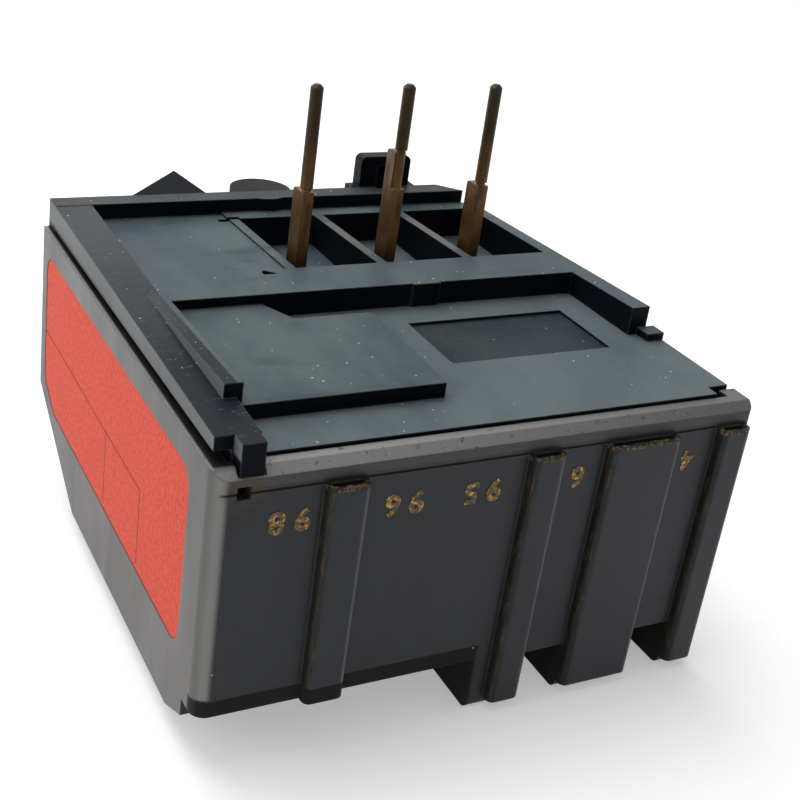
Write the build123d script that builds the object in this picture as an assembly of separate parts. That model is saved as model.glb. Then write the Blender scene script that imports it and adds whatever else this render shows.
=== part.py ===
from build123d import *
import math
import os

# Thermal overload relay, lying on its user side with the plug-on side up.
# Sizes are in millimetres. Places are given as a distance across from the left
# wall, a distance back from the near face, and a level above the barrier tips.

# Walls and clearances
phases = 3
wall = 2.0
corner_radius = 1.6
right_corner_radius = 0.5
near_rim_bevel = 0.85
lug_reach = 4.8
running_gap = 0.3
slip_fit = 0.05
turning_fit = 0.06
sliding_fit = 0.1
seat_fit = 0.01

# Pitches
pin_pitch = 11.6
control_pitch = 8.0

# Contact arm, trip lever and strips, one after the other across the relay
contact_pivot_inset = 2.6
contact_arm_length = 8.4
lever_beyond_arm = 4.6
strip_beyond_lever = 11.2
bimetal_right_of_pin = 4.0
contact_pivot_across = wall + contact_pivot_inset
lever_pivot_across = contact_pivot_across + contact_arm_length + lever_beyond_arm
pin_across = lever_pivot_across + strip_beyond_lever - bimetal_right_of_pin
pin_places = [pin_across + pin_pitch * i for i in range(phases)]
bimetal_places = [across + bimetal_right_of_pin for across in pin_places]

# Ribs on the near face and the barriers between the terminals
rib_proud = 1.2
rib_top_drop = 2.4
rib_edge_radius = 0.8
rib_pocket_depth = 3.0
rib_pocket_back = 0.7
rib_pocket_rim = 0.5
rib_bottom_lift = 0.2
seam_width = 0.25
control_rib_width = 4.3
slim_rib_width = 3.8
wide_rib_width = 8.7
barrier_beyond_pin = 9.6
barrier_extra_left = 2.0
barrier_back = 7.4
barrier_tip_radius = 1.0
middle_bay_wall = 1.7
right_margin = 0.5
barrier_widths = (slim_rib_width, wide_rib_width, slim_rib_width)
barrier_places = [across + barrier_beyond_pin for across in pin_places]
body_width = barrier_places[-1] + slim_rib_width / 2 + right_margin

# Terminal strip along the near side
terminal_ceiling = 13.4
bay_wall_back = 10.2
bay_wall = 1.8
terminal_block_top = 17.0
bay_width = 5.3
bay_partition_level = 7.0
first_control_inset = 4.4
last_control_inset = 3.1
terminal_plate_width = 4.8
terminal_plate_thickness = 1.0
terminal_plate_back = 2.6
terminal_screw_back = 5.6
screw_shank_radius = 1.5
screw_head_radius = 2.35
screw_head_height = 2.2
screw_slot_width = 0.6
screw_slot_depth = 0.9
screw_length = 4.6
clamp_washer_thickness = 0.8
clamp_washer_width = 4.6
clamp_washer_corner = 0.6
terminal_plate_level = terminal_ceiling - terminal_plate_thickness
control_end = barrier_places[0] - slim_rib_width / 2 - barrier_extra_left
last_control_place = control_end - last_control_inset
control_terminal_places = (wall + first_control_inset, last_control_place - control_pitch, last_control_place)
control_rib_across = (control_terminal_places[0] + control_terminal_places[1]) / 2
side_bay_offset = (barrier_places[1] - barrier_places[0] + wide_rib_width / 2 - slim_rib_width / 2) / 2
main_terminal_places = [barrier_places[1] + side_bay_offset * i for i in (-1, 0, 1)]

# Controls and strips, one after the other from near to far
plate_start_gap = 1.0
reset_beyond_plate_start = 6.0
dial_beyond_reset = 12.0
plate_beyond_dial = 7.5
strip_beyond_plate = 7.5
pin_before_strip = 6.0
far_beyond_strip = 14.0
plate_start_back = bay_wall_back + bay_wall + plate_start_gap
reset_back = plate_start_back + reset_beyond_plate_start
dial_back = reset_back + dial_beyond_reset
plate_end_back = dial_back + plate_beyond_dial
bimetal_back = plate_end_back + strip_beyond_plate
pin_back = bimetal_back - pin_before_strip
body_depth = bimetal_back + far_beyond_strip

# Side outline of the housing
rim_level = 33.0
front_level = 2.5
front_start_back = 7.6
front_slope_back = 16.8
far_edge_level = 12.0
skirt_level = 6.5
skirt_back = 3.3
skirt_step = 2.0
main_skirt_drop = 0.5
right_wall_drop = 1.6
corner_post_back = 3.4
front_end_back = body_depth - front_slope_back

# Snap window and the notch in the rim at the near left corner
notch_across = 2.3
notch_width = 2.7
notch_depth = 0.8
snap_window = 1.3
snap_window_drop = 1.6

# Cover over the plug-on side
cover_floor_rise = 0.35
cover_floor_thickness = 1.55
cover_side_gap = 0.6
cover_right_gap = 0.7
cover_near_gap = 0.15
flange_rise = 2.5
far_rim_rise = 3.5
flange_width = 5.0
flange_near_gap = 1.1
flange_far_gap = 0.4
flange_front_reach = 1.9
flange_tab_across = 2.5
flange_tab_width = 2.3
far_rim_width = 2.8
far_corner_cut = 5.5
deck_near_rise = 4.1
deck_far_rise = 1.8
deck_near_back = 8.4
deck_across = 2.6
rail_foot_width = 1.1
rail_width = 1.9
bar_width = 7.2
right_rail_reach = 12.0
right_rail_inset = 1.8
right_rail_width = 2.4
step_block_length = 2.0
step_block_height = 0.9
plate_rise = 2.0
plate_near_back = 7.9
plate_before_bar = 4.1
plate_beyond_pin = 2.1
plate_notch_across = 15.8
plate_notch_slant = 2.0
text_recess_inset = 8.3
text_recess_width = 20.1
text_recess_length = 10.1
text_recess_before_bar = 4.3
text_recess_depth = 0.4
bar_pad_inset = 2.4
bar_pad_width = 3.5
bar_pad_proud = 0.3
plateau_step = 0.25
well_left_of_pin = 2.0
well_before_pin = 3.8
well_ramp_beyond_pin = 3.5
well_far_inset = 5.5
well_partition = 1.2
well_drop = 2.0
well_floor_thickness = 1.3
peep_slot_left_of_pin = 1.7
peep_slot_width = 2.8
peep_slot_depth = 0.9
corner_relief_left_of_pin = 6.5
corner_relief_before_well = 1.4
corner_relief_size = 1.8
cover_floor_level = rim_level + cover_floor_rise
cover_underside = cover_floor_level - cover_floor_thickness
flange_level = rim_level + flange_rise
far_rim_level = rim_level + far_rim_rise
deck_near_level = rim_level + deck_near_rise
deck_far_level = rim_level + deck_far_rise
plate_level = rim_level + plate_rise
well_floor_level = rim_level - well_drop
well_near_back = pin_back - well_before_pin
well_ramp_back = pin_back + well_ramp_beyond_pin
well_far_back = body_depth - well_far_inset
far_rim_back = body_depth - far_rim_width
bar_back = well_near_back - bar_width
right_rail_across = body_width - right_rail_inset - right_rail_width
right_rail_near = bar_back - right_rail_reach
text_recess_right = body_width - text_recess_inset
text_recess_left = text_recess_right - text_recess_width
text_recess_far = bar_back - text_recess_before_bar

# Hook, pointed nose and round nose on the far edge
hook_left_of_pin = 2.3
hook_width = 7.4
hook_thickness = 1.9
hook_rise = 7.7
hook_base_rise = 3.5
hook_base_margin = 1.1
hook_window_left = 1.2
hook_window_width = 3.5
hook_window_height = 4.4
hook_window_sill = 1.5
hook_window_depth = 1.3
hook_corner_radius = 0.8
nose_across = 15.6
nose_width = 9.6
nose_tip_right = 2.1
nose_rise = 4.9
lug_thickness = 2.4
round_nose_beyond_pin = 3.4
round_nose_radius = 4.0
hook_across = pin_places[-1] - hook_left_of_pin

# Rating label in its shallow recess on the left wall
label_thickness = 0.15
label_recess = 0.2
label_top_drop = 2.8
label_bottom_level = 10.7
label_near_back = 5.6
label_far_inset = 2.1
label_corner_radius = 2.2
label_chamfer_inset = 6.8
label_chamfer_level = 13.6

# Contact pins
pin_radius = 0.75
pin_neck_radius = 0.55
pin_neck_height = 0.4
pin_rise = 23.0
pin_blade_rise = 10.6
pin_tall_blade_rise = 14.9
pin_blade_thickness = 1.4
pin_blade_depth = 2.7
pin_shoulder_radius = 0.45
pin_tip_chamfer = 0.35
pin_foot_thickness = 1.0
pin_tip_level = rim_level + pin_rise
pin_blade_level = rim_level + pin_blade_rise
pin_tall_blade_level = rim_level + pin_tall_blade_rise

# Bimetal strips with their heater windings
bimetal_width = 5.0
bimetal_thickness = 0.8
bimetal_tip_level = 9.4
carrier_height = 4.3
carrier_depth = 7.6
carrier_end_margin = 3.4
strip_seat = 2.4
heater_gap = 0.5
heater_ribbon_thickness = 0.45
heater_ribbon_width = 1.0
heater_turns = 5
heater_above_slide = 1.0
foot_below_carrier = 1.8
carrier_level = well_floor_level - well_floor_thickness - carrier_height
pin_foot_level = carrier_level - foot_below_carrier
heater_half_depth = bimetal_width / 2 + heater_gap + heater_ribbon_thickness
heater_near_back = bimetal_back - heater_half_depth - slip_fit

# Main conductors from the heaters to the terminal plates
conductor_width = 2.2
first_lane_gap = 9.0
lane_pitch = 6.0

# Trip slide, pushed to the left by the strips
trip_travel = 1.5
slide_level = 10.2
slide_thickness = 1.6
slide_depth = 7.6
slide_left_of_strip = 7.4
slide_right_margin = 3.0
slide_guide_width = 3.0
slide_left_across = bimetal_places[0] - slide_left_of_strip
heater_bottom_level = slide_level + slide_thickness + heater_above_slide

# Trip lever with its compensating strip
lever_back = bimetal_back
lever_below_contact = 4.0
lever_pivot_radius = 0.8
lever_hub_radius = 2.0
lever_finger_gap = 0.8
lever_arm_thickness = 1.4
lever_arm_drop = 1.6
lever_finger_width = 0.8
lever_width = 5.0
compensator_thickness = 0.8
compensator_overlap = 1.4
lever_push_gap = 0.4
compensator_tip_level = slide_level + slide_thickness - compensator_overlap

# Moving contact arm with its two fixed contacts
contact_below_rim = 7.0
contact_arm_thickness = 0.7
contact_arm_depth = 3.2
contact_back = lever_back
contact_hub_radius = 1.3
contact_pivot_radius = 0.6
contact_angle = 9.0
contact_tip_radius = 1.2
contact_tip_height = 0.7
contact_rest_gap = 0.12
contact_finger_gap = 0.35
fixed_strip_thickness = 0.7
fixed_strip_width = 3.0
holder_top_margin = 0.9
contact_pivot_level = rim_level - contact_below_rim
lever_pivot_level = contact_pivot_level - lever_below_contact
contact_tip_across = contact_pivot_across + contact_arm_length - contact_tip_radius

# Mechanism plate on its posts, over the controls
plate_bottom_level = 14.6
plate_thickness = 1.6
plate_left_inset = 1.0
plate_beyond_lever = 8.2
post_radius = 1.5
bracket_thickness = 1.8
plate_left_across = wall + plate_left_inset
plate_right_across = lever_pivot_across + plate_beyond_lever

# Setting dial
dial_left_of_lever = 0.6
dial_radius = 5.5
dial_flange_rise = 0.8
dial_flange_height = 1.2
dial_stem_radius = 2.0
dial_slot_width = 1.2
dial_slot_reach = 3.7
dial_slot_depth = 1.3
dial_flutes = 10
dial_flute_radius = 0.45
cam_radius = 3.4
cam_offset = 1.0
cam_height = 2.0
wave_washer_radius = 4.0
wave_washer_thickness = 0.5
face_recess = 0.4
dial_across = lever_pivot_across - dial_left_of_lever

# Buttons
reset_right_of_dial = 1.4
reset_radius = 3.0
reset_travel = 2.2
test_inset = 4.4
test_beyond_reset = 3.0
test_radius = 1.9
test_travel = 1.5
button_flange_rise = 0.9
button_flange_height = 1.0
button_edge = 0.3
button_stem_radius = 1.1
button_shoulder = 0.5
button_stem_margin = 0.6
spring_wire = 0.45
spring_wire_sides = 4
spring_turns = 3
reset_across = dial_across + reset_right_of_dial
test_across = plate_left_across + test_inset
test_back = reset_back + test_beyond_reset

# Calibration screw beside the dial
calibration_beyond_dial = 3.0
calibration_radius = 1.25
calibration_head_radius = 2.1
calibration_across = test_across
calibration_back = dial_back + calibration_beyond_dial

overall_depth = rib_proud + body_depth + lug_reach
left = -body_width / 2
near = -overall_depth / 2 + rib_proud
through = body_width + body_depth
corner = (Align.MIN, Align.MIN, Align.MIN)
bottom = (Align.CENTER, Align.CENTER, Align.MIN)


def block(across, back, level):
    """A box between two distances across, two back and two levels."""
    size = [high - low for low, high in (across, back, level)]
    return Pos(left + across[0], near + back[0], level[0]) * Box(*size, align=corner)


def rod(across, back, radius, low, high):
    """An upright round bar between two levels."""
    return Pos(left + across, near + back, low) * Cylinder(radius, high - low, align=bottom)


def cross_rod(across, level, radius, back_start, back_end):
    """A round bar that runs from near to far."""
    bar = Cylinder(radius, back_end - back_start, align=bottom)
    return Pos(left + across, near + back_start, level) * (Rot(-90, 0, 0) * bar)


def side_prism(points, across_start, across_end):
    """A solid whose (back, level) outline runs across the relay."""
    face = make_face(Polyline(*[(0, near + back, level) for back, level in points], close=True))
    return Pos(left + across_start, 0, 0) * extrude(face, across_end - across_start, dir=(1, 0, 0))


def top_prism(points, low, high):
    """A solid whose (across, back) outline stands between two levels."""
    face = make_face(Polyline(*[(left + across, near + back, low) for across, back in points], close=True))
    return extrude(face, high - low, dir=(0, 0, 1))


def upright_edges(solid, across, back):
    """The upright edges at one place, seen from above."""
    edges = solid.edges().filter_by(Axis.Z)
    return [
        edge for edge in edges
        if abs(edge.center().X - left - across) < slip_fit and abs(edge.center().Y - near - back) < slip_fit
    ]


def rib(across, width, low):
    """A rib on the near face, with rounded edges and a pocket open at its top."""
    high = rim_level - rib_top_drop
    body = block((across - width / 2, across + width / 2), (-rib_proud, slip_fit), (low, high))
    edges = upright_edges(body, across - width / 2, -rib_proud)
    edges += upright_edges(body, across + width / 2, -rib_proud)
    body = fillet(edges, rib_edge_radius)
    pocket_back = (rib_pocket_rim - rib_proud, rib_pocket_rim - rib_proud + rib_pocket_back)
    pocket_half = width / 2 - rib_pocket_rim
    pocket_across = (across - pocket_half, across + pocket_half)
    return body - block(pocket_across, pocket_back, (high - rib_pocket_depth, high))


def barrier(across, width, extra, hollow):
    """A barrier wall between terminals, carried down past the near wall."""
    start = across - width / 2 - extra
    end = min(across + width / 2, body_width)
    outline = [
        (0, terminal_block_top), (0, 0), (barrier_back, 0),
        (bay_wall_back + bay_wall, front_level), (bay_wall_back + bay_wall, terminal_ceiling),
        (wall, terminal_ceiling), (wall, terminal_block_top),
    ]
    body = side_prism(outline, start, end)
    tip = [e for e in body.edges().filter_by(Axis.X)
           if abs(e.center().Z) < slip_fit and abs(e.center().Y - near) < slip_fit]
    body = fillet(tip, barrier_tip_radius)
    if hollow:
        body -= block(
            (start + middle_bay_wall, end - middle_bay_wall), (wall, through), (-through, through))
    return body


def make_housing():
    """The five-sided housing with its ribs, barriers and near wall."""
    outline = [
        (near_rim_bevel, rim_level), (0, rim_level - near_rim_bevel), (0, skirt_level),
        (skirt_back, skirt_level), (skirt_back, skirt_level - skirt_step),
        (front_start_back, front_level), (front_end_back, front_level),
        (body_depth, far_edge_level), (body_depth, rim_level),
    ]
    body = side_prism(outline, 0, body_width)
    body = fillet(upright_edges(body, 0, 0), corner_radius)
    body = fillet(upright_edges(body, body_width, 0), right_corner_radius)
    inside_start = bay_wall_back + bay_wall
    slope = (far_edge_level - front_level) / (body_depth - front_end_back)
    inner_far = body_depth - wall
    inside = [
        (inside_start, front_level + wall), (front_end_back - wall / 2, front_level + wall),
        (inner_far, front_level + wall + slope * (inner_far - front_end_back + wall / 2)),
        (inner_far, through), (inside_start, through),
    ]
    body -= side_prism(inside, wall, body_width - wall)
    body -= block((wall, body_width - wall), (wall, bay_wall_back), (-through, through))
    body -= block((wall, body_width - wall), (wall, inside_start), (terminal_ceiling, through))
    main_skirt = skirt_level - main_skirt_drop
    body += block((control_end, body_width - corner_radius), (0, wall), (main_skirt, skirt_level))
    for index, (across, width) in enumerate(zip(barrier_places, barrier_widths)):
        extra = 0 if index else barrier_extra_left
        body += barrier(across, width, extra, width == wide_rib_width)
        body += rib(across, width, rib_bottom_lift + barrier_tip_radius)
    body += rib(control_rib_across, control_rib_width, skirt_level)
    seam_level = rim_level - rib_top_drop
    body -= block((0, body_width), (-seam_width, seam_width), (seam_level, seam_level + seam_width))
    body -= block((body_width - wall, body_width), (corner_post_back, body_depth),
                  (rim_level - right_wall_drop, rim_level))
    body -= block((notch_across, notch_across + notch_width), (-slip_fit, wall),
                  (rim_level - notch_depth, rim_level))
    window_top = rim_level - snap_window_drop
    body -= block((notch_across, notch_across + snap_window), (-slip_fit, wall),
                  (window_top - snap_window, window_top))
    body -= label_outline(label_recess)
    for across, back, radius in front_holes():
        body -= rod(across, back, radius, -through, far_edge_level)
    body -= lug_clearance()
    for across, back in post_places():
        body += rod(across, back, post_radius, front_level + wall / 2, plate_bottom_level)
    return body


def front_holes():
    """The dial well, the button guides and the calibration hole in the front panel."""
    return (
        (dial_across, dial_back, dial_radius + running_gap),
        (reset_across, reset_back, reset_radius + running_gap / 2),
        (test_across, test_back, test_radius + running_gap / 2),
        (calibration_across, calibration_back, calibration_head_radius + running_gap),
    )


def post_places():
    """The posts that carry the mechanism plate."""
    inset = post_radius + slip_fit
    ends = (plate_left_across + inset, plate_right_across - inset)
    sides = (plate_start_back + inset, plate_end_back - inset)
    return [(across, back) for across in ends for back in sides]


def lug_clearance():
    """Room in the far wall for the roots of the noses and the hook."""
    return block((cover_side_gap, body_width - cover_right_gap), (far_rim_back, body_depth),
                 (rim_level - right_wall_drop, rim_level + slip_fit))


def label_outline(thickness):
    """The label's outline as a plate set into the left wall."""
    label_top = rim_level - label_top_drop
    label_far = body_depth - label_far_inset
    points = [
        (label_near_back, label_top), (label_near_back, label_bottom_level),
        (body_depth - label_chamfer_inset, label_bottom_level), (label_far, label_chamfer_level),
        (label_far, label_top),
    ]
    plate = side_prism(points, label_recess - thickness, label_recess)
    return fillet(plate.edges().filter_by(Axis.X), label_corner_radius)


def deck_level(back):
    """The level of the sloping deck at a distance back."""
    share = (back - deck_near_back) / (far_rim_back - deck_near_back)
    return deck_near_level + share * (deck_far_level - deck_near_level)


def deck_prism(across, back, low):
    """A piece of the cover whose top lies in the sloping deck."""
    top = [(place, deck_level(place)) for place in reversed(back)]
    outline = [(back[0], low), (back[1], low)] + top
    return side_prism(outline, across[0], across[1])


def well_span(index):
    """Where a pin's well starts and ends across the cover."""
    start = pin_places[index] - well_left_of_pin
    end = start + pin_pitch - well_partition
    return start, end


def cut_wells(body):
    """The three wells that the contactor's terminal shrouds reach into."""
    for index in range(len(pin_places)):
        start, end = well_span(index)
        outline = [
            (well_near_back, through), (well_near_back, rim_level),
            (well_ramp_back, well_floor_level), (well_far_back, well_floor_level), (well_far_back, through),
        ]
        body -= side_prism(outline, start, end)
        blade = (pin_back - pin_radius - slip_fit, pin_back - pin_radius + pin_blade_depth + slip_fit)
        half = pin_blade_thickness / 2 + slip_fit
        body -= block((pin_places[index] - half, pin_places[index] + half), blade, (0, through))
    return body


def make_rear_cover():
    """The cover of the plug-on side, with its deck, rails, wells and hook."""
    right = body_width - cover_right_gap
    well_start = well_span(0)[0] - well_partition
    well_end = well_span(phases - 1)[1] + well_partition
    floor_near = wall + cover_near_gap
    body = block((wall + running_gap, right), (floor_near, body_depth), (cover_underside, cover_floor_level))
    flange = [
        (floor_near, rim_level + flange_near_gap), (floor_near, flange_level),
        (body_depth, far_rim_level), (body_depth, rim_level + flange_far_gap),
    ]
    body += side_prism(flange, cover_side_gap, flange_width)
    flange_foot = [
        (floor_near, cover_underside), (floor_near, flange_level),
        (body_depth, far_rim_level), (body_depth, cover_underside),
    ]
    body += side_prism(flange_foot, wall + running_gap, flange_width)
    tab_end = flange_tab_across + flange_tab_width
    body += block((flange_tab_across, tab_end), (floor_near - flange_front_reach, floor_near),
                  (rim_level - notch_depth + slip_fit, flange_level))
    body += block((cover_side_gap, right), (far_rim_back, body_depth), (cover_underside, far_rim_level))
    body += deck_prism((deck_across + rail_foot_width, deck_across + rail_foot_width + rail_width),
                       (deck_near_back, far_rim_back), cover_underside)
    body += deck_prism((deck_across + rail_foot_width, right_rail_across + right_rail_width),
                       (bar_back, far_rim_back), cover_underside)
    rail_span = (right_rail_across, right_rail_across + right_rail_width)
    body += deck_prism(rail_span, (right_rail_near, bar_back), cover_underside)
    rail_end = rail_span[0] + right_rail_width / 2
    body += block((rail_end, right), (right_rail_near - step_block_length, right_rail_near),
                  (cover_underside, cover_floor_level + step_block_height))
    plate_left = flange_width - slip_fit
    plate_right = pin_across + plate_beyond_pin
    plate_far = bar_back - plate_before_bar
    plate = [
        (plate_left, plate_near_back), (plate_right, plate_near_back),
        (plate_right, plate_far), (plate_notch_across + plate_notch_slant, plate_far),
        (plate_notch_across, bar_back), (plate_left, bar_back),
    ]
    body += top_prism(plate, cover_underside, plate_level)
    pad_left = text_recess_left + bar_pad_inset
    body += block((pad_left, pad_left + bar_pad_width), (bar_back - bar_pad_proud, bar_back),
                  (cover_underside, deck_level(bar_back)))
    text_back = (text_recess_far - text_recess_length, text_recess_far)
    text_floor = cover_floor_level - text_recess_depth
    body -= block((text_recess_left, text_recess_right), text_back, (text_floor, through))
    body += block((well_start, well_end), (well_near_back - well_partition, well_far_back + well_partition),
                  (well_floor_level - well_floor_thickness, cover_underside))
    body = cut_wells(body)
    body = add_far_edge(body)
    rail_right = deck_across + rail_foot_width + rail_width
    plateau = [
        (rail_right, far_rim_back), (rail_right, pin_back + rail_width), (nose_across - rail_width, pin_back),
        (nose_across, well_near_back), (well_start, well_near_back), (well_start, far_rim_back),
    ]
    top = [(back, deck_level(back) - plateau_step) for back in (well_near_back, far_rim_back)]
    skim = side_prism(top + [(far_rim_back, through), (well_near_back, through)], 0, body_width)
    body -= skim & top_prism(plateau, cover_underside, through)
    slot_right = pin_across - peep_slot_left_of_pin
    body -= block((slot_right - peep_slot_width, slot_right),
                  (far_rim_back - wall - peep_slot_depth, far_rim_back - wall), (cover_floor_level, through))
    relief_across = pin_across - corner_relief_left_of_pin
    relief_back = well_near_back - corner_relief_before_well
    relief = [
        (relief_across, relief_back), (relief_across + corner_relief_size, relief_back),
        (relief_across, relief_back + corner_relief_size),
    ]
    body -= top_prism(relief, cover_floor_level, through)
    corner_cut = [
        (right, body_depth), (right - far_corner_cut, body_depth), (right, body_depth - far_corner_cut),
    ]
    body -= top_prism(corner_cut, 0, through)
    post_start = body_width - corner_post_back + slip_fit
    return body - block((post_start, body_width), (0, corner_post_back + running_gap), (0, through))


def add_far_edge(body):
    """The hook, the pointed nose and the round nose on the far edge."""
    half = hook_width / 2
    base = half + hook_base_margin
    hook_back = (body_depth - slip_fit, body_depth + hook_thickness)
    base_level = rim_level + hook_base_rise
    hook_top = rim_level + hook_rise
    base_across = (hook_across - base, hook_across + base)
    body += block(base_across, (far_rim_back, hook_back[1]), (cover_underside, base_level))
    hook = block((hook_across - half, hook_across + half), hook_back, (base_level - slip_fit, hook_top))
    top_edges = [e for e in hook.edges().filter_by(Axis.Y) if e.center().Z > hook_top - slip_fit]
    body += fillet(top_edges, hook_corner_radius)
    window_low = base_level - hook_window_sill
    window_left = hook_across - hook_window_left
    window_across = (window_left, window_left + hook_window_width)
    window_back = (far_rim_back + wall, body_depth + hook_window_depth)
    body -= block(window_across, window_back, (window_low, window_low + hook_window_height))
    nose_half = nose_width / 2
    nose = [
        (nose_across - nose_half, body_depth - slip_fit), (nose_across + nose_half, body_depth - slip_fit),
        (nose_across + nose_tip_right, body_depth + lug_reach),
    ]
    ramp = [
        (body_depth - slip_fit, flange_level - lug_thickness), (body_depth - slip_fit, far_rim_level),
        (body_depth + lug_reach, rim_level + nose_rise), (body_depth + lug_reach, flange_level - lug_thickness),
    ]
    body += top_prism(nose, cover_underside, rim_level + nose_rise) & side_prism(ramp, 0, body_width)
    round_back = body_depth + lug_reach - round_nose_radius
    round_across = pin_across + round_nose_beyond_pin
    return body + rod(round_across, round_back, round_nose_radius, flange_level - lug_thickness, far_rim_level)


def make_label():
    """The rating label, a thin printed plate."""
    return label_outline(label_thickness)


def make_terminal_block():
    """The inner moulding that carries the terminal plates and parts their bays."""
    inner = (wall + slip_fit, body_width - wall - slip_fit)
    body = block(inner, (wall + slip_fit, bay_wall_back + bay_wall),
                 (terminal_ceiling + slip_fit, terminal_block_top))
    body += block((inner[0], control_end - slip_fit), (wall + slip_fit, bay_wall_back - slip_fit),
                  (bay_partition_level, terminal_ceiling + slip_fit))
    half = bay_width / 2
    for across in control_terminal_places:
        body -= block((across - half, across + half), (wall, bay_wall_back), (0, terminal_ceiling + slip_fit))
    for across in terminal_places():
        body -= rod(across, terminal_screw_back, screw_shank_radius + running_gap, 0, through)
    return body


def terminal_places():
    """All six terminals, control side first."""
    return list(control_terminal_places) + main_terminal_places


def terminal_plate(across):
    """The flat end of a conductor, under the ceiling of its bay."""
    half = terminal_plate_width / 2
    plate = block((across - half, across + half), (terminal_plate_back, bay_wall_back),
                  (terminal_plate_level, terminal_ceiling))
    return plate - rod(across, terminal_screw_back, screw_shank_radius, 0, through)


def make_terminal_screw(across):
    """A slotted terminal screw, driven from the user side."""
    head_top = terminal_plate_level - clamp_washer_thickness
    head_bottom = head_top - screw_head_height
    head = rod(across, terminal_screw_back, screw_head_radius, head_bottom, head_top)
    edge = head.edges().filter_by(GeomType.CIRCLE).sort_by(Axis.Z)[0]
    head = chamfer(edge, screw_slot_width / 2)
    half = screw_slot_width / 2
    slot_level = (head_bottom, head_bottom + screw_slot_depth)
    head -= block((across - half, across + half), (0, bay_wall_back), slot_level)
    shank_radius = screw_shank_radius - slip_fit
    return head + rod(across, terminal_screw_back, shank_radius, head_top, head_top + screw_length)


def make_clamp_washer(across):
    """A square clamp washer with its corners cut."""
    half = clamp_washer_width / 2
    plate = block((across - half, across + half), (terminal_screw_back - half, terminal_screw_back + half),
                  (terminal_plate_level - clamp_washer_thickness, terminal_plate_level))
    plate = chamfer(plate.edges().filter_by(Axis.Z), clamp_washer_corner)
    return plate - rod(across, terminal_screw_back, screw_shank_radius, 0, through)


def make_pin(across, tall):
    """A round contact pin with its neck on a flat blade, and a foot inside the housing."""
    half = pin_blade_thickness / 2
    blade_back = (pin_back - pin_radius, pin_back - pin_radius + pin_blade_depth)
    blade_top = pin_tall_blade_level if tall else pin_blade_level
    body = block((across - half, across + half), blade_back, (pin_foot_level, blade_top))
    shoulder = [e for e in body.edges().filter_by(Axis.X) if e.center().Z > blade_top - slip_fit]
    body = fillet(shoulder[-1:], pin_shoulder_radius)
    if tall:
        body -= block((across - half, across + half), (blade_back[0], pin_back), (pin_blade_level, blade_top))
    neck_top = blade_top + pin_neck_height
    body += rod(across, pin_back, pin_neck_radius, pin_blade_level - slip_fit, neck_top)
    pin = rod(across, pin_back, pin_radius, neck_top, pin_tip_level)
    tip = pin.edges().filter_by(GeomType.CIRCLE).sort_by(Axis.Z)[-1]
    body += chamfer(tip, pin_tip_chamfer)
    foot_end = across + bimetal_right_of_pin + half
    foot_level = (pin_foot_level, pin_foot_level + pin_foot_thickness)
    return body + block((across - half, foot_end), (blade_back[0], heater_near_back), foot_level)


def make_bimetal(across):
    """One bimetal strip, held at its top in the carrier."""
    thickness = bimetal_thickness / 2
    width = bimetal_width / 2
    body = block((across - thickness, across + thickness), (bimetal_back - width, bimetal_back + width),
                 (bimetal_tip_level, carrier_level + strip_seat))
    return chamfer(body.edges().filter_by(Axis.X).group_by(Axis.Z)[0], bimetal_thickness / 2)


def make_carrier():
    """The moulded bar under the wells that holds the three strips."""
    top = carrier_level + carrier_height
    across = (bimetal_places[0] - carrier_end_margin, bimetal_places[-1] + carrier_end_margin)
    back = (bimetal_back - carrier_depth / 2, bimetal_back + carrier_depth / 2)
    body = block(across, back, (carrier_level, top))
    body = fillet(body.edges().filter_by(Axis.Z), corner_radius)
    for place in bimetal_places:
        body -= make_bimetal(place)
    return body


def make_heater(across):
    """A ribbon wound round one strip in square turns."""
    half_across = bimetal_thickness / 2 + heater_gap + heater_ribbon_thickness / 2
    half_back = bimetal_width / 2 + heater_gap + heater_ribbon_thickness / 2
    top = pin_foot_level - slip_fit - heater_ribbon_width / 2
    low = heater_bottom_level + heater_ribbon_width / 2
    corners = ((-1, -1), (1, -1), (1, 1), (-1, 1))
    steps = len(corners) * heater_turns
    points = []
    for step in range(steps + 1):
        side, end = corners[step % len(corners)]
        rise = (top - low) * step / steps
        points.append((left + across + side * half_across, near + bimetal_back + end * half_back, low + rise))
    path = Polyline(*points)
    section = Plane(origin=path @ 0, x_dir=(0, 0, 1), z_dir=path % 0)
    ribbon = section * Rectangle(heater_ribbon_width, heater_ribbon_thickness)
    return sweep(ribbon, path=path, transition=Transition.RIGHT)


def make_main_conductor(index):
    """The strap from a heater to its terminal plate."""
    strip_place = bimetal_places[index]
    terminal_place = main_terminal_places[index]
    half = conductor_width / 2
    jog = bay_wall_back + bay_wall + first_lane_gap + lane_pitch * index
    level = (terminal_plate_level, terminal_ceiling)
    body = block((strip_place - half, strip_place + half), (jog - half, heater_near_back), level)
    sides = sorted((strip_place, terminal_place))
    body += block((sides[0] - half, sides[1] + half), (jog - half, jog + half), level)
    body += block((terminal_place - half, terminal_place + half), (bay_wall_back, jog + half), level)
    return body + terminal_plate(terminal_place)


def make_trip_slide():
    """The bar that the strips push to the left when they bend."""
    start = slide_left_across
    end = bimetal_places[-1] + slide_right_margin + trip_travel
    back = (bimetal_back - slide_depth / 2, bimetal_back + slide_depth / 2)
    body = block((start, end), back, (slide_level, slide_level + slide_thickness))
    half = bimetal_thickness / 2
    width = bimetal_width / 2 + running_gap
    for place in bimetal_places:
        body -= block((place - half - running_gap, place + half + running_gap + trip_travel),
                      (bimetal_back - width, bimetal_back + width), (0, through))
    nose = slide_guide_width / 2
    nose_end = lever_pivot_across + compensator_thickness / 2 + lever_push_gap
    return body + block((nose_end, start), (lever_back - nose, lever_back + nose),
                        (slide_level, slide_level + slide_thickness))


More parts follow.
